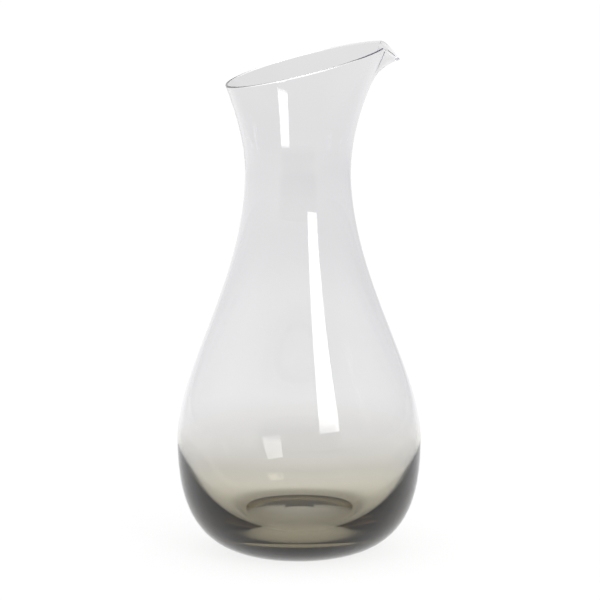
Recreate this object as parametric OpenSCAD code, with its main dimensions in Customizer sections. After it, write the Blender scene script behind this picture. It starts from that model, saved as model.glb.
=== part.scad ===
// Hand-blown decanter with a slanted mouth and a pulled pouring lip.
// A clear glass bubble is cased over its lower part with a heavy smoke-grey gather.
// Units are millimetres and +Z is up. The origin is the centre of the foot, on the table,
// and the lip points along +X.

/* [Foot and heel] */
// Radius of the foot, where the heel leaves the table
foot_r = 32; // [28:0.5:34]
// Width of the flat ring that the decanter stands on
foot_land = 1.6; // [1.4:0.2:4]
// How far from each edge of that ring its worn rounding reaches
foot_soft = 0.5; // [0.2:0.1:0.7]
// Angle of the heel above the table at the foot
heel_angle = 15.5; // [13:0.5:20]
// How far the heel keeps that direction before it turns up
heel_reach = 24.5; // [18:0.5:28]
// Height of the kick under the base
punt_h = 5.2; // [2:0.2:6]
// How far the kick's wall runs in towards the axis before it levels off
punt_in = 8; // [4:0.5:10]
// Height of the kick's wall there
punt_rise = 3.2; // [1:0.1:4]
// Radius within which the kick is almost level
punt_level = 12; // [10:0.5:24]
// Radius of the ground hollow in the middle of the kick
pontil_r = 7; // [4:0.5:10]
// Depth of that hollow
pontil_depth = 0.8; // [0.4:0.1:1.5]

/* [Belly] */
// Largest radius of the belly
belly_r = 63; // [58:1:70]
// Height of the widest place
belly_z = 57.5; // [50:0.5:66]
// How far the outline stays upright below the widest place
belly_drop = 30.5; // [28:0.5:37]
// How far the outline stays upright above the widest place
belly_rise = 38; // [30:1:46]

/* [Neck] */
// Radius of the neck at its narrowest
neck_r = 27.1; // [22:0.1:32]
// Height of the narrowest place
neck_z = 199; // [185:1:215]
// How far the outline stays upright below the narrowest place
neck_drop = 58; // [45:1:70]
// How far the outline stays upright above the narrowest place
neck_rise = 21.5; // [15:0.5:28]

/* [Mouth] */
// Radius that the flare would reach at its full height
flare_r = 49; // [44:0.5:54]
// Full height of the flare, a little above the slanted rim
flare_z = 267; // [266:0.5:272]
// Lean of the flare from the upright at its full height
flare_angle = 32.5; // [26:0.5:38]
// How far down the flare keeps that lean
flare_reach = 19; // [12:0.5:24]
// Height of the slanted rim on the axis
rim_z = 251.3; // [246:0.1:252]
// Slant of the rim, highest over the lip
rim_slant = 14; // [8:0.5:14]

/* [Lip] */
// Width of the pouring lip where it leaves the rim
lip_w = 32; // [24:1:36]
// Height of the crease where the underside of the lip leaves the flare
lip_crease_z = 250; // [244:0.5:254]
// Width of the lip's pull at that crease
lip_crease_w = 16; // [10:1:20]
// How far the lip is pulled out beyond the rim
lip_out = 5.2; // [3:0.2:8]
// How far the lip dips below the rim
lip_drop = 7.6; // [5:0.2:9]
// Extra thickness of the glass at the tip of the lip
lip_extra = 0.7; // [0.3:0.1:1.5]

/* [Glass] */
// Thickness of the clear wall from the belly to the neck
wall = 1.5; // [1.3:0.1:2.4]
// Thickness to which it thins at the rim
rim_wall = 1.1; // [0.9:0.1:1.6]
// Height of the middle of the bowl's floor above the table
floor_z = 13.5; // [10:0.1:16]
// How far the middle of the floor stays level
floor_reach = 28.5; // [24:0.5:34]
// Radius at which the floor turns up into the bowl's side
knee_r = 35.6; // [34:0.2:42]
// Height of the floor there
knee_z = 13.8; // [13.6:0.1:18]
// Slope of the floor there
knee_angle = 2; // [1:0.5:24]
// How far the floor keeps that slope inside the turn
knee_in = 6.1; // [4:0.1:9]
// How far the side keeps it outside the turn
knee_out = 8.5; // [6:0.1:12]
// How far the bowl's side stays upright below the widest place
bowl_drop = 25; // [16:0.5:28]
// Thickness of the clear lining under the floor of the bowl
lining = 1.2; // [0.8:0.1:2]
// Thickness of the smoke glass at the widest place of the belly
smoke_belly = 1.15; // [0.5:0.05:1.25]
// Height of the upper edge of the smoke glass
smoke_z = 70.5; // [66.5:0.5:80]
// Thickness to which the smoke glass thins at that edge
smoke_edge = 0.2; // [0.1:0.05:0.5]

/* [Hidden] */

$fn = 96;

// Points along each curve, and facets of the mouth, by count.
heel_steps = 14;
shoulder_steps = 20;
floor_steps = 8;
bowl_steps = 16;
punt_steps = 10;
foot_steps = 3;
edge_steps = 3;
mouth_steps = 8;
lip_rise_steps = 8;
rim_steps = 4;
round_steps = 54;
lip_steps = 20;
solve_steps = 30;

// Power of the arch across the lip: one is a parabola, and more runs out flatter into the rim.
lip_arch = 2.7;

// How softly the lip leaves the flare, and how softly its width turns, as shares of the flare's run.
crease_soft_share = 0.1;
width_soft_share = 0.15;

// Share of the way up to the crease above which the mouth's rings lie closer together.
ring_turn_share = 0.8;

// The foot of the mouth is set this deep into the neck, and this far inside its skins.
mouth_sink = 1;
mouth_inset = 0.05;

// Outline of the outside, as four control points for each stretch from the foot to the rim.
heel = [
    [foot_r, 0],
    [foot_r + heel_reach * cos(heel_angle), heel_reach * sin(heel_angle)],
    [belly_r, belly_z - belly_drop],
    [belly_r, belly_z]
];
shoulder = [
    [belly_r, belly_z],
    [belly_r, belly_z + belly_rise],
    [neck_r, neck_z - neck_drop],
    [neck_r, neck_z]
];
flare = [
    [neck_r, neck_z],
    [neck_r, neck_z + neck_rise],
    [flare_r - flare_reach * sin(flare_angle), flare_z - flare_reach * cos(flare_angle)],
    [flare_r, flare_z]
];

// Outline of the inside of the bowl: its floor out to the knee, and its side up to the widest place.
knee = [knee_r, knee_z];
knee_way = [cos(knee_angle), sin(knee_angle)];
bowl_floor = [
    [0, floor_z],
    [floor_reach, floor_z],
    knee - knee_in * knee_way,
    knee
];
bowl = [
    knee,
    knee + knee_out * knee_way,
    [belly_r - wall, belly_z - bowl_drop],
    [belly_r - wall, belly_z]
];

// Share of the shoulder's run at which the smoke glass ends.
smoke_t = height_share(shoulder, smoke_z);

// The two glasses are fused along this seam, from under the floor of the bowl to the smoke's edge.
lining_gain = wall - smoke_belly - lining;
smoke_loss = smoke_belly - smoke_edge;
seam = concat(
    [for (i = [0 : floor_steps - 1]) skin(bowl_floor, i / floor_steps, -lining)],
    [for (i = [0 : bowl_steps]) skin(bowl, i / bowl_steps, -lining - lining_gain * i / bowl_steps)],
    [for (i = [1 : edge_steps])
        skin(shoulder, smoke_t * i / edge_steps, smoke_belly - smoke_loss * i / edge_steps)]
);

// The kick rises from the inner edge of the foot ring to the edge of the ground hollow.
punt_r = foot_r - foot_land;
punt = [
    [punt_r, 0],
    [punt_r - punt_in, punt_rise],
    [punt_level, punt_h],
    [0, punt_h]
];

// The flat ring of the foot, with both its edges worn round.
foot_ring = concat(
    round_off(foot_soft * along(heel, 0), [-foot_soft, 0], [foot_r, 0]),
    round_off([foot_soft, 0], foot_soft * along(punt, 0), [punt_r, 0])
);

// Where the crease crosses the flare, and half the lip's width at the rim and there, as angles.
rim_t = rim_share(0, 0);
crease_t = height_share(flare, lip_crease_z);
crease_share = crease_t / rim_t;
rim_half_angle = asin(lip_w / 2 / bend(flare, rim_t)[0]);
crease_half_angle = asin(lip_crease_w / 2 / bend(flare, crease_t)[0]);

// A point on a curve with four control points, at a share t of its run.
function bend(p, t) =
    pow(1 - t, 3) * p[0] + 3 * pow(1 - t, 2) * t * p[1] + 3 * (1 - t) * t * t * p[2] + pow(t, 3) * p[3];

// The direction of that curve there, with length one.
function along(p, t) =
    let (d = pow(1 - t, 2) * (p[1] - p[0]) + 2 * (1 - t) * t * (p[2] - p[1]) + t * t * (p[3] - p[2]))
    d / norm(d);

// A point at a depth under that curve, towards the axis.
function skin(p, t, depth) = let (d = along(p, t)) bend(p, t) + depth * [-d[1], d[0]];

// The points of a stretch of that curve, between two shares of its run.
function stretch(p, from_t, to_t, steps, depth = 0) =
    [for (i = [0 : steps]) skin(p, from_t + (to_t - from_t) * i / steps, depth)];

// A rounded corner, between two points that lie off it by the given steps.
function round_off(step_in, step_out, corner) =
    [for (i = [0 : foot_steps])
        let (t = i / foot_steps)
        corner + pow(1 - t, 2) * step_in + t * t * step_out];

// Zero below nothing and x above it, with a rounded corner.
function soft_ramp(x, soft) = (x + sqrt(x * x + soft * soft)) / 2;

// The share of a rising curve's run at which it reaches a height.
function height_share(p, z, low = 0, high = 1, left = solve_steps) =
    let (mid = (low + high) / 2)
    left == 0 ? mid
    : bend(p, mid)[1] < z ? height_share(p, z, mid, high, left - 1)
    : height_share(p, z, low, mid, left - 1);

// The share of the flare's run at which a skin of it reaches the slanted rim.
function rim_share(angle, depth, low = 0, high = 1, left = solve_steps) =
    let (mid = (low + high) / 2, p = skin(flare, mid, depth))
    left == 0 ? mid
    : p[1] < rim_z + p[0] * cos(angle) * tan(rim_slant) ? rim_share(angle, depth, mid, high, left - 1)
    : rim_share(angle, depth, low, mid, left - 1);

// Shares of the way up the flare at which the mouth has a ring, closer together on the lip.
turn_share = crease_share * ring_turn_share;
ring_shares = concat(
    [for (i = [1 : mouth_steps]) turn_share * i / mouth_steps],
    [for (i = [1 : lip_rise_steps]) turn_share + (1 - turn_share) * i / lip_rise_steps]
);

// The stations round the mouth. Each has its share of the lip's half width, its share of a full
// turn and how much of the lip's pull it takes.
stations = concat(
    [for (i = [0 : lip_steps])
        let (across = sin(180 * i / lip_steps - 90))
        [across, 0, pow(1 - across * across, lip_arch)]],
    [for (i = [1 : round_steps - 1]) [1 - 2 * i / round_steps, i / round_steps, 0]]
);

// A station's angle. The lip is widest at the rim and narrows down to its crease.
function station_angle(station, share) =
    let (
        away = share - crease_share,
        rise = soft_ramp(away, width_soft_share) / (1 - crease_share),
        fall = soft_ramp(-away, width_soft_share) / crease_share,
        half_angle = crease_half_angle + (rim_half_angle - crease_half_angle) * min(1, rise + fall)
    )
    half_angle * station[0] + 360 * station[1];

// A point of the mouth as radius, height and angle: inside is nothing on the outer skin, one on the inner.
function mouth_point(station, share, inside) =
    let (
        rim = rim_share(station_angle(station, 1), inside * rim_wall),
        p = skin(flare, share * rim, inside * (wall + (rim_wall - wall) * share)),
        pull = station[2] * soft_ramp(share - crease_share, crease_soft_share) / (1 - crease_share)
    )
    [p[0] + pull * lip_out, p[1] - pull * (lip_drop - lip_extra * inside), station_angle(station, share)];

// The mouth's points at one station: up the outside, over the round rim and down the inside.
function section(station) =
    let (
        outside = [for (s = ring_shares) mouth_point(station, s, 0)],
        inside = [for (s = ring_shares) mouth_point(station, s, 1)],
        last = len(ring_shares) - 1,
        middle = (outside[last] + inside[last]) / 2,
        half = (outside[last] - inside[last]) / 2,
        rise = [-half[1], half[0], 0],
        foot_angle = station_angle(station, 0)
    )
    concat(
        [[neck_r - mouth_inset, neck_z - mouth_sink, foot_angle]],
        outside,
        [for (i = [1 : rim_steps - 1])
            middle + half * cos(180 * i / rim_steps) + rise * sin(180 * i / rim_steps)],
        [for (i = [last : -1 : 0]) inside[i]],
        [[neck_r - wall + mouth_inset, neck_z - mouth_sink, foot_angle]]
    );

// The flared mouth, its slanted rim and the lip, as one closed skin of rings.
module mouth() {
    sections = [for (station = stations) section(station)];
    rows = len(sections[0]);
    turns = len(stations);
    points = [for (s = sections) for (p = s) [p[0] * cos(p[2]), p[0] * sin(p[2]), p[1]]];
    faces = [
        for (i = [0 : turns - 1])
        for (j = [0 : rows - 1])
        let (
            a = i * rows + j,
            b = i * rows + (j + 1) % rows,
            c = (i + 1) % turns * rows + (j + 1) % rows,
            d = (i + 1) % turns * rows + j
        )
        each [[a, b, c], [a, c, d]]
    ];
    polyhedron(points, faces);
}

// The clear glass: lining of the bowl, shoulder and neck, turned about the axis, and the mouth.
module clear_bubble() {
    color([0.89, 0.9, 0.91, 0.45])
    union() {
        rotate_extrude()
        polygon(concat(
            seam,
            stretch(shoulder, smoke_t, 1, shoulder_steps),
            stretch(shoulder, 1, 0, shoulder_steps, wall),
            [for (i = [1 : bowl_steps]) bend(bowl, 1 - i / bowl_steps)],
            [for (i = [1 : floor_steps]) bend(bowl_floor, 1 - i / floor_steps)]
        ));
        mouth();
    }
}

// The smoke glass: the heavy base and the skirt that thins up the outside of the bowl.
module smoke_gather() {
    color([0.36, 0.35, 0.32, 0.85])
    difference() {
        rotate_extrude()
        polygon(concat(
            seam,
            stretch(shoulder, smoke_t, 0, edge_steps),
            [for (i = [1 : heel_steps - 1]) bend(heel, 1 - i / heel_steps)],
            foot_ring,
            [for (i = [1 : punt_steps]) bend(punt, i / punt_steps)]
        ));
        pontil_hollow();
    }
}

// The hollow ground into the kick, a shallow cap of a sphere.
module pontil_hollow() {
    hollow_r = (pontil_r * pontil_r + pontil_depth * pontil_depth) / (2 * pontil_depth);
    translate([0, 0, punt_h + pontil_depth - hollow_r])
    sphere(r = hollow_r);
}

clear_bubble();
smoke_gather();
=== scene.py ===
import functools
import math

import bpy
from mathutils import Matrix, Vector


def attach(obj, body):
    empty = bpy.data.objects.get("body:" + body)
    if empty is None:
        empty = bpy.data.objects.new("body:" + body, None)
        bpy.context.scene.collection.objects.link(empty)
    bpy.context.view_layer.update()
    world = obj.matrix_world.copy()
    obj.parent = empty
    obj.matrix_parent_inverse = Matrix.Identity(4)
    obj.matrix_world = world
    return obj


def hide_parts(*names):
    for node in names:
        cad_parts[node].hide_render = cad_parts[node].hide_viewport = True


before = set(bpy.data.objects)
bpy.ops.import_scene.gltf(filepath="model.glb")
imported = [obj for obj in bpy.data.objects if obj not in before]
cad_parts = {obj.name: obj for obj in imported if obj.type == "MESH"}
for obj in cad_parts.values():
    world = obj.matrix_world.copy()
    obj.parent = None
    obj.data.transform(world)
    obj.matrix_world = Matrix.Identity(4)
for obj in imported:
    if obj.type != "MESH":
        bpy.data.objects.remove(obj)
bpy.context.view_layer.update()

# The decanter's lengths are in millimetres, and closed_skin turns them into metres. What stands
# round it is in metres. Named angles are in degrees.
MM = 0.001

# Outline of the outside, as in the CAD source.
FOOT_R = 32.0
FOOT_LAND = 1.6
FOOT_SOFT = 0.5
HEEL_ANGLE = 15.5
HEEL_REACH = 24.5
PUNT_H = 5.2
PUNT_RISE = 3.2
PUNT_IN = 8.0
PUNT_FLAT = 12.0
PONTIL_R = 7.0
PONTIL_DEPTH = 0.8
BELLY_R = 63.0
BELLY_Z = 57.5
BELLY_DROP = 30.5
BELLY_RISE = 38.0
NECK_R = 27.1
NECK_Z = 199.0
NECK_DROP = 58.0
NECK_RISE = 21.5
FLARE_R = 49.0
FLARE_Z = 267.0
FLARE_ANGLE = 32.5
FLARE_REACH = 19.0
RIM_Z = 251.3
RIM_SLANT = 14.0

# The pouring lip, as in the CAD source.
LIP_W = 32.0
LIP_CREASE_Z = 250.0
LIP_CREASE_W = 16.0
LIP_OUT = 5.2
LIP_DROP = 7.6
LIP_EXTRA = 0.7
LIP_ARCH = 2.7

# How softly the lip leaves the flare, and how softly its width turns, as shares of the flare's run.
CREASE_SOFT_SHARE = 0.1
WIDTH_SOFT_SHARE = 0.15

# Thickness of the glass, as in the CAD source, apart from the smoke's finer edge.
WALL = 1.5
RIM_WALL = 1.1
FLOOR_Z = 13.5
FLOOR_REACH = 28.5
KNEE_R = 35.6
KNEE_Z = 13.8
KNEE_ANGLE = 2.0
KNEE_IN = 6.1
KNEE_OUT = 8.5
BOWL_DROP = 25.0
LINING = 1.2
SMOKE_BELLY = 1.15
SMOKE_Z = 70.5
SMOKE_FADE = 1.5

# Half the slit that is left between the two glasses along their seam.
SLIT = 0.01

# Numbers of rows along each stretch of the outline, and of stations round the vessel. The rows get
# closer together from a share of the way up to the lip's crease.
FLOOR_ROWS = 36
BOWL_ROWS = 48
EDGE_ROWS = 12
SHOULDER_ROWS = 56
FLARE_ROWS = 30
LIP_ROWS = 44
CLOSER_SHARE = 0.8
RIM_ROWS = 10
HEEL_ROWS = 56
FOOT_ROWS = 8
PUNT_ROWS = 64
ROUND_STATIONS = 228
LIP_STATIONS = 60

# How often a search for a share of a run halves the part that is left.
HALVINGS = 40

# How the glass takes light. The rim's painted highlight is weaker at both ends of the slanted mouth.
WHITE = (1, 1, 1, 1)
GLASS_IOR = 1.5
NO_BEND_IOR = 1.0
SHARP_ANGLE = 60.0
# A white matt coat on the round rim paints a highlight there.
RIM_PAINTED_HIGHLIGHT = 0.35
HIGHLIGHT_END_LOSS = 0.85
HIGHLIGHT_LIP_LOSS = 0.7
HIGHLIGHT_LIP_SIDE = (0.2, 0.5)
HIGHLIGHT_LIP_EDGE = 0.35

# The share of its reflection that the bowl's floor keeps, the radii between which the rest comes
# back, and how much light passes where it is lost.
FLOOR_GLOSS = 0.25
FLOOR_GLOSS_R = (30.0, 40.0)
FLOOR_TINT = 0.86

# A slight haze low on the heel and on the outer part of the kick.
HEEL_HAZE = 0.13
HEEL_HAZE_Z = (7.0, 13.0)
KICK_HAZE = 0.17
KICK_HAZE_R = (14.0, 24.0)

# Colour and density of each glass, which darkens with the length of the light's way through it.
CLEAR_TINT = (0.44, 0.31, 0.94)
CLEAR_DENSITY = 8.0
SMOKE_TINT = (0.59, 0.53, 0.295)
SMOKE_DENSITY = 80.0


def bend(curve, t):
    """A point on a curve with four control points, at a share t of its run."""
    a = (1 - t) ** 3
    b = 3 * (1 - t) ** 2 * t
    c = 3 * (1 - t) * t * t
    d = t ** 3
    return tuple(a * p + b * q + c * r + d * s for p, q, r, s in zip(*curve))


def along(curve, t):
    """The direction of that curve there, with length one."""
    a = (1 - t) ** 2
    b = 2 * (1 - t) * t
    c = t * t
    x, y = (a * (q - p) + b * (r - q) + c * (s - r) for p, q, r, s in zip(*curve))
    size = math.hypot(x, y)
    return x / size, y / size


def skin(curve, t, depth):
    """A point at a depth under that curve, towards the axis."""
    x, y = bend(curve, t)
    dx, dy = along(curve, t)
    return x - depth * dy, y + depth * dx


def stretch(curve, first, last, steps, depth=0.0):
    """Even steps along a part of a curve, or along the skin at a depth under it."""
    return [skin(curve, first + (last - first) * i / steps, depth) for i in range(steps + 1)]


def reach(length, angle):
    """How far a length goes out and up, at an angle above the level."""
    turn = math.radians(angle)
    return length * math.cos(turn), length * math.sin(turn)


def smooth_step(x, first, last):
    """Zero up to first and one from last on, with a smooth way between."""
    t = min(1.0, max(0.0, (x - first) / (last - first)))
    return t * t * (3 - 2 * t)


def soft_ramp(x, soft):
    """Zero below nothing and x above it, with a rounded corner."""
    return (x + math.sqrt(x * x + soft * soft)) / 2


def share_from(reached):
    """The share of a run from which on a test of the share holds, found by halving."""
    low, high = 0.0, 1.0
    for _ in range(HALVINGS):
        middle = (low + high) / 2
        if reached(middle):
            high = middle
        else:
            low = middle
    return (low + high) / 2


def height_share(curve, z):
    """The share of a rising curve's run at which it reaches a height."""
    return share_from(lambda t: bend(curve, t)[1] >= z)


# The curves of the outside, from the foot up to the mouth. The flare's angle is from the upright.
HEEL_OUT, HEEL_UP = reach(HEEL_REACH, HEEL_ANGLE)
FLARE_DOWN, FLARE_IN = reach(FLARE_REACH, FLARE_ANGLE)
HEEL = [
    (FOOT_R, 0.0),
    (FOOT_R + HEEL_OUT, HEEL_UP),
    (BELLY_R, BELLY_Z - BELLY_DROP),
    (BELLY_R, BELLY_Z),
]
SHOULDER = [
    (BELLY_R, BELLY_Z),
    (BELLY_R, BELLY_Z + BELLY_RISE),
    (NECK_R, NECK_Z - NECK_DROP),
    (NECK_R, NECK_Z),
]
FLARE = [
    (NECK_R, NECK_Z),
    (NECK_R, NECK_Z + NECK_RISE),
    (FLARE_R - FLARE_IN, FLARE_Z - FLARE_DOWN),
    (FLARE_R, FLARE_Z),
]

# The curves of the inside, from the middle of the floor over its knee up to the belly.
KNEE_IN_X, KNEE_IN_Z = reach(KNEE_IN, KNEE_ANGLE)
KNEE_OUT_X, KNEE_OUT_Z = reach(KNEE_OUT, KNEE_ANGLE)
FLOOR = [
    (0.0, FLOOR_Z),
    (FLOOR_REACH, FLOOR_Z),
    (KNEE_R - KNEE_IN_X, KNEE_Z - KNEE_IN_Z),
    (KNEE_R, KNEE_Z),
]
BOWL = [
    (KNEE_R, KNEE_Z),
    (KNEE_R + KNEE_OUT_X, KNEE_Z + KNEE_OUT_Z),
    (BELLY_R - WALL, BELLY_Z - BOWL_DROP),
    (BELLY_R - WALL, BELLY_Z),
]

# The kick under the foot, from the foot ring in to the middle.
PUNT_R = FOOT_R - FOOT_LAND
PUNT = [
    (PUNT_R, 0.0),
    (PUNT_R - PUNT_IN, PUNT_RISE),
    (PUNT_FLAT, PUNT_H),
    (0.0, PUNT_H),
]


@functools.lru_cache(maxsize=None)
def rim_share(angle, depth):
    """The share of the flare's run at which a skin of it reaches the slanted rim."""
    slope = math.cos(angle) * math.tan(math.radians(RIM_SLANT))

    def reached(t):
        x, y = skin(FLARE, t, depth)
        return y >= RIM_Z + x * slope

    return share_from(reached)


RIM_T = rim_share(0.0, 0.0)
CREASE_T = height_share(FLARE, LIP_CREASE_Z)
CREASE_SHARE = CREASE_T / RIM_T
RIM_HALF_ANGLE = math.asin(LIP_W / 2 / bend(FLARE, RIM_T)[0])
CREASE_HALF_ANGLE = math.asin(LIP_CREASE_W / 2 / bend(FLARE, CREASE_T)[0])
SMOKE_T = height_share(SHOULDER, SMOKE_Z)


def make_stations():
    """The stations round the vessel, first those of the lip.

    Each has its share of the lip's half width, its share of a full turn, and how much of the lip's
    pull it takes.
    """
    stations = []
    for i in range(LIP_STATIONS + 1):
        across = math.sin(math.pi * (i / LIP_STATIONS - 0.5))
        stations.append((across, 0.0, max(0.0, 1 - across * across) ** LIP_ARCH))
    for i in range(1, ROUND_STATIONS):
        stations.append((1 - 2 * i / ROUND_STATIONS, i / ROUND_STATIONS, 0.0))
    return stations


def flare_shares():
    """Shares of the flare's run that have a row, closer together on the lip."""
    start = CREASE_SHARE * CLOSER_SHARE
    low = [start * i / FLARE_ROWS for i in range(1, FLARE_ROWS)]
    high = [start + (1 - start) * i / LIP_ROWS for i in range(LIP_ROWS + 1)]
    return low + high


STATIONS = make_stations()
SHARES = flare_shares()


def half_angle(share):
    """Half the angle that the lip's stations take up at a share of the flare's run."""
    away = share - CREASE_SHARE
    rise = soft_ramp(away, WIDTH_SOFT_SHARE) / (1 - CREASE_SHARE)
    fall = soft_ramp(-away, WIDTH_SOFT_SHARE) / CREASE_SHARE
    return CREASE_HALF_ANGLE + (RIM_HALF_ANGLE - CREASE_HALF_ANGLE) * min(1.0, rise + fall)


def station_angle(station, share):
    """The angle round the axis at which a station stands, at a share of the flare's run."""
    return half_angle(share) * station[0] + 2 * math.pi * station[1]


def mouth_point(station, share, inside):
    """A point of the mouth, on the outside or the inside, as radius, height and angle."""
    whole_run = rim_share(station_angle(station, 1.0), inside * RIM_WALL)
    depth = inside * (WALL + (RIM_WALL - WALL) * share)
    x, y = skin(FLARE, share * whole_run, depth)
    pull = station[2] * soft_ramp(share - CREASE_SHARE, CREASE_SOFT_SHARE) / (1 - CREASE_SHARE)
    drop = LIP_DROP - LIP_EXTRA * inside
    return x + pull * LIP_OUT, y - pull * drop, station_angle(station, share)


def mouth_rows(station):
    """Up the outside of the flare, over the round rim and down the inside."""
    outside = [mouth_point(station, share, False) for share in SHARES]
    inside = [mouth_point(station, share, True) for share in SHARES]
    middle = [(a + b) / 2 for a, b in zip(outside[-1], inside[-1])]
    half = [(a - b) / 2 for a, b in zip(outside[-1], inside[-1])]
    rise = (-half[1], half[0], 0.0)
    over = []
    for i in range(1, RIM_ROWS):
        turn = math.pi * i / RIM_ROWS
        over.append(tuple(
            m + h * math.cos(turn) + r * math.sin(turn) for m, h, r in zip(middle, half, rise)))
    return outside + over + inside[::-1]


def seam_rows(shift):
    """The fused seam, from the axis to the smoke's upper edge, shifted towards the outside."""
    gain = WALL - SMOKE_BELLY - LINING
    rows = []
    for i in range(FLOOR_ROWS):
        rows.append(skin(FLOOR, i / FLOOR_ROWS, -LINING - shift))
    for i in range(BOWL_ROWS + 1):
        t = i / BOWL_ROWS
        rows.append(skin(BOWL, t, -LINING - gain * t - shift))
    for i in range(1, EDGE_ROWS + 1):
        t = i / EDGE_ROWS
        smoke = SMOKE_BELLY * (1 - t) ** SMOKE_FADE
        rows.append(skin(SHOULDER, SMOKE_T * t, smoke - shift * (1 - t)))
    return rows


def worn_edge(a, b, c):
    """The points over a worn edge at b, from a on one side to c on the other."""
    rows = []
    for i in range(FOOT_ROWS + 1):
        t = i / FOOT_ROWS
        rows.append(tuple(
            (1 - t) ** 2 * u + 2 * (1 - t) * t * v + t * t * w for u, v, w in zip(a, b, c)))
    return rows


def foot_ring():
    """The flat ring of the foot, with both its edges worn round."""
    heel_x, heel_z = along(HEEL, 0.0)
    kick_x, kick_z = along(PUNT, 0.0)
    up_heel = (FOOT_R + FOOT_SOFT * heel_x, FOOT_SOFT * heel_z)
    up_kick = (PUNT_R + FOOT_SOFT * kick_x, FOOT_SOFT * kick_z)
    outer = worn_edge(up_heel, (FOOT_R, 0.0), (FOOT_R - FOOT_SOFT, 0.0))
    inner = worn_edge((PUNT_R + FOOT_SOFT, 0.0), (PUNT_R, 0.0), up_kick)
    return outer + inner


def kick_rows():
    """From the foot ring in under the base, with the round hollow of the pontil in the middle."""
    ball_r = (PONTIL_R ** 2 + PONTIL_DEPTH ** 2) / (2 * PONTIL_DEPTH)
    ball_z = PUNT_H + PONTIL_DEPTH - ball_r
    rows = []
    for r, z in stretch(PUNT, 0.0, 1.0, PUNT_ROWS):
        if r < PUNT_R - FOOT_SOFT:
            hollow = ball_z + math.sqrt(max(0.0, ball_r ** 2 - r * r))
            rows.append((r, max(z, hollow)))
    return rows


def bead_painted_highlight(station):
    """How strong the rim's painted highlight is at a station: at the near and far sides, and on the
    lip's edge.
    """
    across = math.cos(station_angle(station, 1.0))
    ends = 1 - HIGHLIGHT_END_LOSS * across * across
    lip_side = 1 - HIGHLIGHT_LIP_LOSS * smooth_step(across, *HIGHLIGHT_LIP_SIDE)
    return max(ends * lip_side, HIGHLIGHT_LIP_EDGE * math.sqrt(station[2]))


def finish(ior=GLASS_IOR, painted_highlight=0.0, clear=0.0, haze=0.0):
    """The face attributes of a row: how it bends light, its painted highlight, its lost reflection and
    its haze.
    """
    return {"skin_ior": ior, "rim_painted_highlight": painted_highlight, "skin_clear": clear, "skin_haze": haze}


def closed_skin(name, columns, finishes, turned):
    """A closed skin through one column of (radius, height, angle) for each station.

    Each column starts and ends on the axis. There is one finish for each row of a column.
    """
    turns = len(columns)
    inner = len(columns[0]) - 2
    verts = [(0.0, 0.0, columns[0][0][1] * MM)]
    for column in columns:
        for r, z, angle in column[1:-1]:
            verts.append((r * math.cos(angle) * MM, r * math.sin(angle) * MM, z * MM))
    verts.append((0.0, 0.0, columns[0][-1][1] * MM))
    last = len(verts) - 1

    def at(i, j):
        return (i % turns) * inner + j

    faces = []
    places = []
    for i in range(turns):
        faces.append((at(i + 1, 1), at(i, 1), 0))
        places.append((i, 0))
        for j in range(1, inner):
            faces.append((at(i, j), at(i + 1, j), at(i + 1, j + 1), at(i, j + 1)))
            places.append((i, j))
        faces.append((at(i, inner), at(i + 1, inner), last))
        places.append((i, inner + 1))
    if turned:
        faces = [face[::-1] for face in faces]
    mesh = bpy.data.meshes.new(name)
    mesh.from_pydata(verts, [], faces)
    mesh.update()
    mesh.shade_smooth()
    mesh.set_sharp_from_angle(angle=math.radians(SHARP_ANGLE))
    # Each station's share of the rim's painted highlight.
    highlight_shares = [bead_painted_highlight(station) for station in STATIONS]
    for key in finish():
        values = [finishes[j][key] for i, j in places]
        if key == "rim_painted_highlight":
            values = [value * highlight_shares[i] for value, (i, j) in zip(values, places)]
        mesh.attributes.new(key, "FLOAT", "FACE").data.foreach_set("value", values)
    obj = bpy.data.objects.new(name, mesh)
    bpy.context.scene.collection.objects.link(obj)
    return obj


def make_clear_bubble():
    """Up the seam and the outside, over the rim, down the inside and in over the bowl's floor."""
    seam = seam_rows(-SLIT)
    outside = stretch(SHOULDER, SMOKE_T, 1.0, SHOULDER_ROWS)[1:]
    inside = stretch(SHOULDER, 1.0, 0.0, SHOULDER_ROWS, WALL)
    bowl = stretch(BOWL, 1.0, 0.0, BOWL_ROWS)[1:] + stretch(FLOOR, 1.0, 0.0, FLOOR_ROWS)[1:]
    columns = []
    for station in STATIONS:
        angle = station_angle(station, 0.0)
        low = [(r, z, angle) for r, z in seam + outside]
        high = [(r, z, angle) for r, z in inside + bowl]
        columns.append(low + mouth_rows(station) + high)
    seamed = len(seam) - 1
    finishes = [finish(ior=NO_BEND_IOR)] * seamed
    finishes += [finish()] * (len(columns[0]) - seamed - len(bowl))
    for r, z in bowl:
        lost = (1 - FLOOR_GLOSS) * (1 - smooth_step(r, *FLOOR_GLOSS_R))
        finishes.append(finish(clear=lost))
    rim = len(seam) + len(outside) + len(SHARES) - 1
    # The rim's rows carry the painted highlight.
    finishes[rim:rim + RIM_ROWS] = [finish(painted_highlight=1.0)] * RIM_ROWS
    return closed_skin("clear_bubble_glass", columns, finishes, False)


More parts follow.
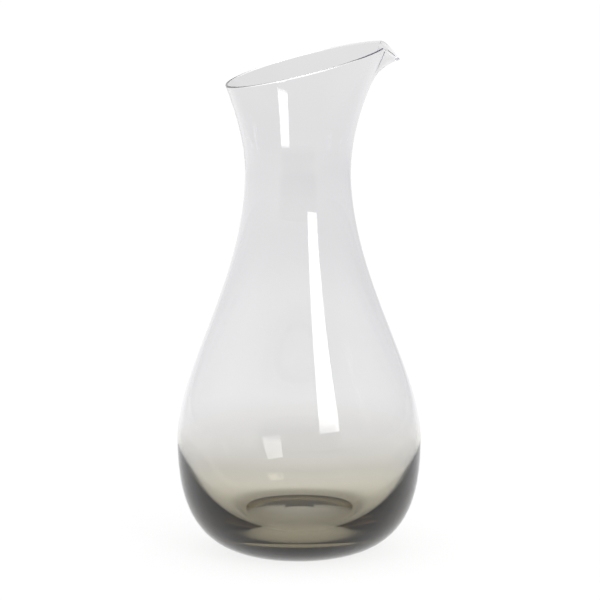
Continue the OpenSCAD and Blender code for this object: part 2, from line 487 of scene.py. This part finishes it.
def make_smoke_gather():
    """Up the seam, down the skirt and the heel, over the foot ring and in under the kick."""
    seam = seam_rows(SLIT)
    skirt = stretch(SHOULDER, SMOKE_T, 0.0, EDGE_ROWS)[1:]
    heel = [p for p in stretch(HEEL, 1.0, 0.0, HEEL_ROWS)[1:-1] if p[0] > FOOT_R + FOOT_SOFT]
    ring = foot_ring()
    kick = kick_rows()
    columns = []
    for station in STATIONS:
        angle = station_angle(station, 0.0)
        columns.append([(r, z, angle) for r, z in seam + skirt + heel + ring + kick])
    seamed = len(seam) - 1
    finishes = [finish(ior=NO_BEND_IOR)] * seamed
    finishes += [finish()] * (1 + len(skirt))
    finishes += [finish(haze=HEEL_HAZE * (1 - smooth_step(z, *HEEL_HAZE_Z))) for r, z in heel]
    finishes += [finish()] * len(ring)
    finishes += [finish(haze=KICK_HAZE * smooth_step(r, *KICK_HAZE_R)) for r, z in kick]
    return closed_skin("smoke_gather_glass", columns, finishes, True)


def set_input(tree, socket, value):
    """Give a socket a number, or the link from another socket."""
    if isinstance(value, (int, float)):
        socket.default_value = value
    else:
        tree.links.new(value, socket)


def maths(tree, operation, a, b):
    """A maths node on two sockets or numbers, as its output socket."""
    made = tree.nodes.new("ShaderNodeMath")
    made.operation = operation
    for socket, value in zip(made.inputs, (a, b)):
        set_input(tree, socket, value)
    return made.outputs["Value"]


def smooth_ramp(tree, value, way, low, high):
    """A smooth step from low to high as the value goes over a way, from its first end to its last."""
    made = tree.nodes.new("ShaderNodeMapRange")
    made.interpolation_type = "SMOOTHSTEP"
    made.inputs["From Min"].default_value = way[0]
    made.inputs["From Max"].default_value = way[1]
    set_input(tree, made.inputs["To Min"], low)
    set_input(tree, made.inputs["To Max"], high)
    tree.links.new(value, made.inputs["Value"])
    return made.outputs["Result"]


def choose(tree, test, without, with_it):
    """The first level where the test is zero and the second one where it is one."""
    return smooth_ramp(tree, test, (0.0, 1.0), without, with_it)


def mix_shaders(tree, share, first, second):
    """A mix of two shaders, with a share of the second."""
    made = tree.nodes.new("ShaderNodeMixShader")
    tree.links.new(share, made.inputs["Fac"])
    tree.links.new(first, made.inputs[1])
    tree.links.new(second, made.inputs[2])
    return made.outputs["Shader"]


def attribute(tree, name):
    """The value of a face attribute."""
    made = tree.nodes.new("ShaderNodeAttribute")
    made.attribute_name = name
    return made.outputs["Fac"]


def split_vector(tree, vector):
    """The outputs X, Y and Z of a vector."""
    made = tree.nodes.new("ShaderNodeSeparateXYZ")
    tree.links.new(vector, made.inputs["Vector"])
    return made.outputs


def see_through(tree):
    """A shader that leaves all behind it to be seen."""
    return tree.nodes.new("ShaderNodeBsdfTransparent").outputs["BSDF"]


def new_material(name):
    """A material with its node tree and its main shader."""
    material = bpy.data.materials.new(name)
    material.use_nodes = True
    return material, material.node_tree, material.node_tree.nodes["Principled BSDF"]


def glass(name, tint, density):
    """Glass with absorption in its depth, steered by the face attributes of its skin."""
    material, tree, shader = new_material(name)
    shader.inputs["Base Color"].default_value = WHITE
    shader.inputs["Roughness"].default_value = 0.0
    shader.inputs["IOR"].default_value = GLASS_IOR
    shader.inputs["Transmission Weight"].default_value = 1.0
    tree.links.new(attribute(tree, "skin_ior"), shader.inputs["IOR"])
    tree.links.new(attribute(tree, "skin_haze"), shader.inputs["Roughness"])
    plain = tree.nodes.new("ShaderNodeBsdfRefraction")
    plain.inputs["Color"].default_value = (FLOOR_TINT, FLOOR_TINT, FLOOR_TINT, 1)
    plain.inputs["Roughness"].default_value = 0.0
    plain.inputs["IOR"].default_value = GLASS_IOR
    body = mix_shaders(
        tree, attribute(tree, "skin_clear"), shader.outputs["BSDF"], plain.outputs["BSDF"])
    # A white matt coat where the rim is: a painted highlight added to the glass.
    highlight_coat = tree.nodes.new("ShaderNodeBsdfDiffuse")
    painted_highlight = maths(tree, "MULTIPLY", attribute(tree, "rim_painted_highlight"), RIM_PAINTED_HIGHLIGHT)
    tree.links.new(painted_highlight, highlight_coat.inputs["Color"])
    both = tree.nodes.new("ShaderNodeAddShader")
    tree.links.new(body, both.inputs[0])
    tree.links.new(highlight_coat.outputs["BSDF"], both.inputs[1])
    depth = tree.nodes.new("ShaderNodeVolumeAbsorption")
    depth.inputs["Color"].default_value = (*tint, 1)
    depth.inputs["Density"].default_value = density
    output = tree.nodes["Material Output"]
    tree.links.new(both.outputs["Shader"], output.inputs["Surface"])
    tree.links.new(depth.outputs["Volume"], output.inputs["Volume"])
    return material


clear = make_clear_bubble()
clear.data.materials.append(glass("clear_glass_finish", CLEAR_TINT, CLEAR_DENSITY))
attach(clear, "root")
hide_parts("clear_bubble")

smoke = make_smoke_gather()
smoke.data.materials.append(glass("smoke_glass_finish", SMOKE_TINT, SMOKE_DENSITY))
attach(smoke, "root")
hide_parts("smoke_gather")

# Camera, fitted to the photograph's outline.
CAM_AT = (0.00077, -2.273, 0.558)
CAM_AIM = (0.00077, 0.0, 0.1305)
CAM_ROLL = -0.25
CAM_LENS = 269.61
CAM_SENSOR = 36.0
CAM_SEES = 50.0


def make_camera():
    data = bpy.data.cameras.new("camera")
    data.lens = CAM_LENS
    data.sensor_width = CAM_SENSOR
    data.clip_end = CAM_SEES
    camera = bpy.data.objects.new("camera", data)
    bpy.context.scene.collection.objects.link(camera)
    aim = (Vector(CAM_AIM) - Vector(CAM_AT)).to_track_quat("-Z", "Y").to_matrix().to_4x4()
    roll = Matrix.Rotation(math.radians(CAM_ROLL), 4, "Z")
    camera.matrix_world = Matrix.Translation(CAM_AT) @ aim @ roll
    bpy.context.scene.camera = camera


# World: white to the camera, and even to matt surfaces. To all else it is a little brighter above
# than at the back and the left, and less bright on the right. In reflections its front goes from
# FRONT_LOW at the horizon to FRONT_LEVEL higher up. Each WAY is the span of the direction's X, Y or
# Z over which a level changes.
BACK_LEVEL = 0.8
FRONT_LEVEL = 0.62
FRONT_LOW = 0.9
FRONT_UP_WAY = (0.0, 0.4)
FRONT_TO_BACK_WAY = (-0.75, -0.1)
RIGHT_SHARE = 0.75
RIGHT_WAY = (0.25, 0.85)
TOP_LEVEL = 1.1
TOP_WAY = (0.45, 0.95)
EVEN_LEVEL = 1.0
CAMERA_LEVEL = 1.0


def make_world():
    world = bpy.data.worlds.new("studio")
    bpy.context.scene.world = world
    world.use_nodes = True
    tree = world.node_tree
    way = split_vector(tree, tree.nodes.new("ShaderNodeTexCoord").outputs["Generated"])
    path = tree.nodes.new("ShaderNodeLightPath").outputs
    mirrored = maths(tree, "MINIMUM", path["Glossy Depth"], 1.0)
    front = smooth_ramp(tree, way["Z"], FRONT_UP_WAY, FRONT_LOW, FRONT_LEVEL)
    front = choose(tree, mirrored, BACK_LEVEL, front)
    around = smooth_ramp(tree, way["Y"], FRONT_TO_BACK_WAY, front, BACK_LEVEL)
    around = maths(tree, "MULTIPLY", around, smooth_ramp(tree, way["X"], RIGHT_WAY, 1.0, RIGHT_SHARE))
    around = smooth_ramp(tree, way["Z"], TOP_WAY, around, TOP_LEVEL)
    level = choose(tree, path["Is Diffuse Ray"], around, EVEN_LEVEL)
    level = choose(tree, path["Is Camera Ray"], level, CAMERA_LEVEL)
    background = tree.nodes["Background"]
    background.inputs["Color"].default_value = WHITE
    tree.links.new(level, background.inputs["Strength"])


def make_sheet(name, corners, material):
    """A flat sheet of the studio."""
    mesh = bpy.data.meshes.new(name)
    mesh.from_pydata(corners, [], [(0, 1, 2, 3)])
    mesh.materials.append(material)
    sheet = bpy.data.objects.new(name, mesh)
    bpy.context.scene.collection.objects.link(sheet)
    return sheet


# Ground: pale, with a share of its shadow kept. It is white to the camera. In plain reflections it
# glows, with painted shade that makes it less bright on the right. Through the glass it glows with
# a painted shadow: a level at each distance from the foot's middle, darkest under the foot. From
# below it is clear, so that the foot can be seen.
GROUND_SIZE = 12.0
GROUND_GAP = 0.0002
GROUND_COLOUR = (0.9, 0.9, 0.9, 1)
GROUND_KEEP = 0.22
GROUND_SEEN = 1.05
GROUND_SHINE = 1.1
GROUND_RIGHT_SHADE = 0.6
GROUND_RIGHT_WAY = (0.1, 0.8)
GROUND_SHADE_LEVELS = [
    (0.022, 0.46),
    (0.07, 0.78),
    (0.12, 0.62),
    (0.22, 0.7),
    (0.42, 0.84),
    (0.64, 0.82),
    (1.0, 0.71),
    (1.3, 0.68),
    (1.65, 0.72),
]


def ground_paper():
    material, tree, matt = new_material("floor_paper")
    matt.inputs["Base Color"].default_value = GROUND_COLOUR
    matt.inputs["Roughness"].default_value = 1.0
    matt.inputs["Specular IOR Level"].default_value = 0.0
    path = tree.nodes.new("ShaderNodeLightPath").outputs
    place = tree.nodes.new("ShaderNodeNewGeometry").outputs
    away = tree.nodes.new("ShaderNodeVectorMath")
    away.operation = "LENGTH"
    tree.links.new(place["Position"], away.inputs[0])
    # Painted shadow: the ground's glow seen through the glass, darkest under the foot.
    through = GROUND_SHADE_LEVELS[0][1]
    for (first, _), (last, level) in zip(GROUND_SHADE_LEVELS, GROUND_SHADE_LEVELS[1:]):
        through = smooth_ramp(tree, away.outputs["Value"], (first, last), through, level)
    across = split_vector(tree, place["Position"])["X"]
    # Painted shade: in reflections the ground glows less on the right.
    shine = smooth_ramp(tree, across, GROUND_RIGHT_WAY, GROUND_SHINE, GROUND_RIGHT_SHADE)
    inside = maths(tree, "MINIMUM", path["Transmission Depth"], 1.0)
    level = choose(tree, path["Is Camera Ray"], choose(tree, inside, shine, through), GROUND_SEEN)
    glow = tree.nodes.new("ShaderNodeEmission")
    tree.links.new(level, glow.inputs["Strength"])
    seen = maths(tree, "MAXIMUM", path["Is Camera Ray"], path["Is Glossy Ray"])
    seen = maths(tree, "MAXIMUM", seen, path["Is Transmission Ray"])
    glowing = maths(tree, "MULTIPLY", seen, 1 - GROUND_KEEP)
    top = mix_shaders(tree, glowing, matt.outputs["BSDF"], glow.outputs["Emission"])
    both = mix_shaders(tree, place["Backfacing"], top, see_through(tree))
    tree.links.new(both, tree.nodes["Material Output"].inputs["Surface"])
    return material


def make_ground():
    half = GROUND_SIZE / 2
    corners = [(-half, -half, 0), (half, -half, 0), (half, half, 0), (-half, half, 0)]
    floor = make_sheet("floor", corners, ground_paper())
    floor.location.z = -GROUND_GAP


# Softbox, tall, to the front right. Its power follows from its level and its size.
BOX_AZ = 29.0
BOX_FAR = 1.0
BOX_LOW = 0.25
BOX_HIGH = 0.79
BOX_WIDE = 0.34
BOX_LEVEL = 5.0


def make_softbox():
    tall = BOX_HIGH - BOX_LOW
    data = bpy.data.lights.new("softbox", "AREA")
    data.shape = "RECTANGLE"
    data.size = BOX_WIDE
    data.size_y = tall
    data.energy = BOX_LEVEL * math.pi * BOX_WIDE * tall
    softbox = bpy.data.objects.new("softbox", data)
    bpy.context.scene.collection.objects.link(softbox)
    az = math.radians(BOX_AZ)
    middle = (BOX_HIGH + BOX_LOW) / 2
    softbox.location = (BOX_FAR * math.sin(az), -BOX_FAR * math.cos(az), middle)
    softbox.rotation_euler = (math.radians(90), 0, az)
    softbox.visible_camera = False


# A dark card in front, under the camera's line of sight. Only reflections show it, so it paints a
# dark reflection into the glass. The painted reflection fades out to both sides and to the ground,
# and it is fainter towards its top.
CARD_FAR = 0.5
CARD_HALF = 0.5
CARD_HIGH = 0.24
CARD_COLOUR = (0.05, 0.05, 0.05, 1)
CARD_KEEP = 0.6
CARD_SIDE_WAY = (0.28, CARD_HALF)
CARD_FOOT_WAY = (0.0, 0.14)
CARD_TOP_WAY = (0.14, CARD_HIGH)
CARD_TOP = 0.35


def card_painted_reflection():
    material, tree, cloth = new_material("card_painted_reflection")
    cloth.inputs["Base Color"].default_value = CARD_COLOUR
    cloth.inputs["Roughness"].default_value = 1.0
    path = tree.nodes.new("ShaderNodeLightPath").outputs
    place = split_vector(tree, tree.nodes.new("ShaderNodeNewGeometry").outputs["Position"])
    # Painted reflection: how much of the dark card shows, at each place.
    aside = maths(tree, "ABSOLUTE", place["X"], 0.0)
    painted_opacity = smooth_ramp(tree, aside, CARD_SIDE_WAY, CARD_KEEP, 0.0)
    painted_opacity = maths(tree, "MULTIPLY", painted_opacity, smooth_ramp(tree, place["Z"], CARD_TOP_WAY, 1.0, CARD_TOP))
    painted_opacity = maths(tree, "MULTIPLY", painted_opacity, smooth_ramp(tree, place["Z"], CARD_FOOT_WAY, 0.0, 1.0))
    mirrored = maths(tree, "MINIMUM", path["Glossy Depth"], 1.0)
    shown = maths(tree, "MULTIPLY", mirrored, painted_opacity)
    surface = mix_shaders(tree, shown, see_through(tree), cloth.outputs["BSDF"])
    tree.links.new(surface, tree.nodes["Material Output"].inputs["Surface"])
    return material


def make_card():
    corners = [
        (-CARD_HALF, -CARD_FAR, 0),
        (CARD_HALF, -CARD_FAR, 0),
        (CARD_HALF, -CARD_FAR, CARD_HIGH),
        (-CARD_HALF, -CARD_FAR, CARD_HIGH),
    ]
    card = make_sheet("dark_card", corners, card_painted_reflection())
    card.visible_camera = False
    card.visible_diffuse = False
    card.visible_shadow = False


make_camera()
make_world()
make_ground()
make_softbox()
make_card()

# The heavy base needs many bounces of light inside the glass.
GLASS_BOUNCES = 48
MIRROR_BOUNCES = 32
CLEAR_BOUNCES = 16
cycles = bpy.context.scene.cycles
cycles.max_bounces = GLASS_BOUNCES
cycles.transmission_bounces = GLASS_BOUNCES
cycles.glossy_bounces = MIRROR_BOUNCES
cycles.transparent_max_bounces = CLEAR_BOUNCES
cycles.caustics_reflective = True
cycles.caustics_refractive = True

bpy.context.scene.view_settings.view_transform = "Standard"
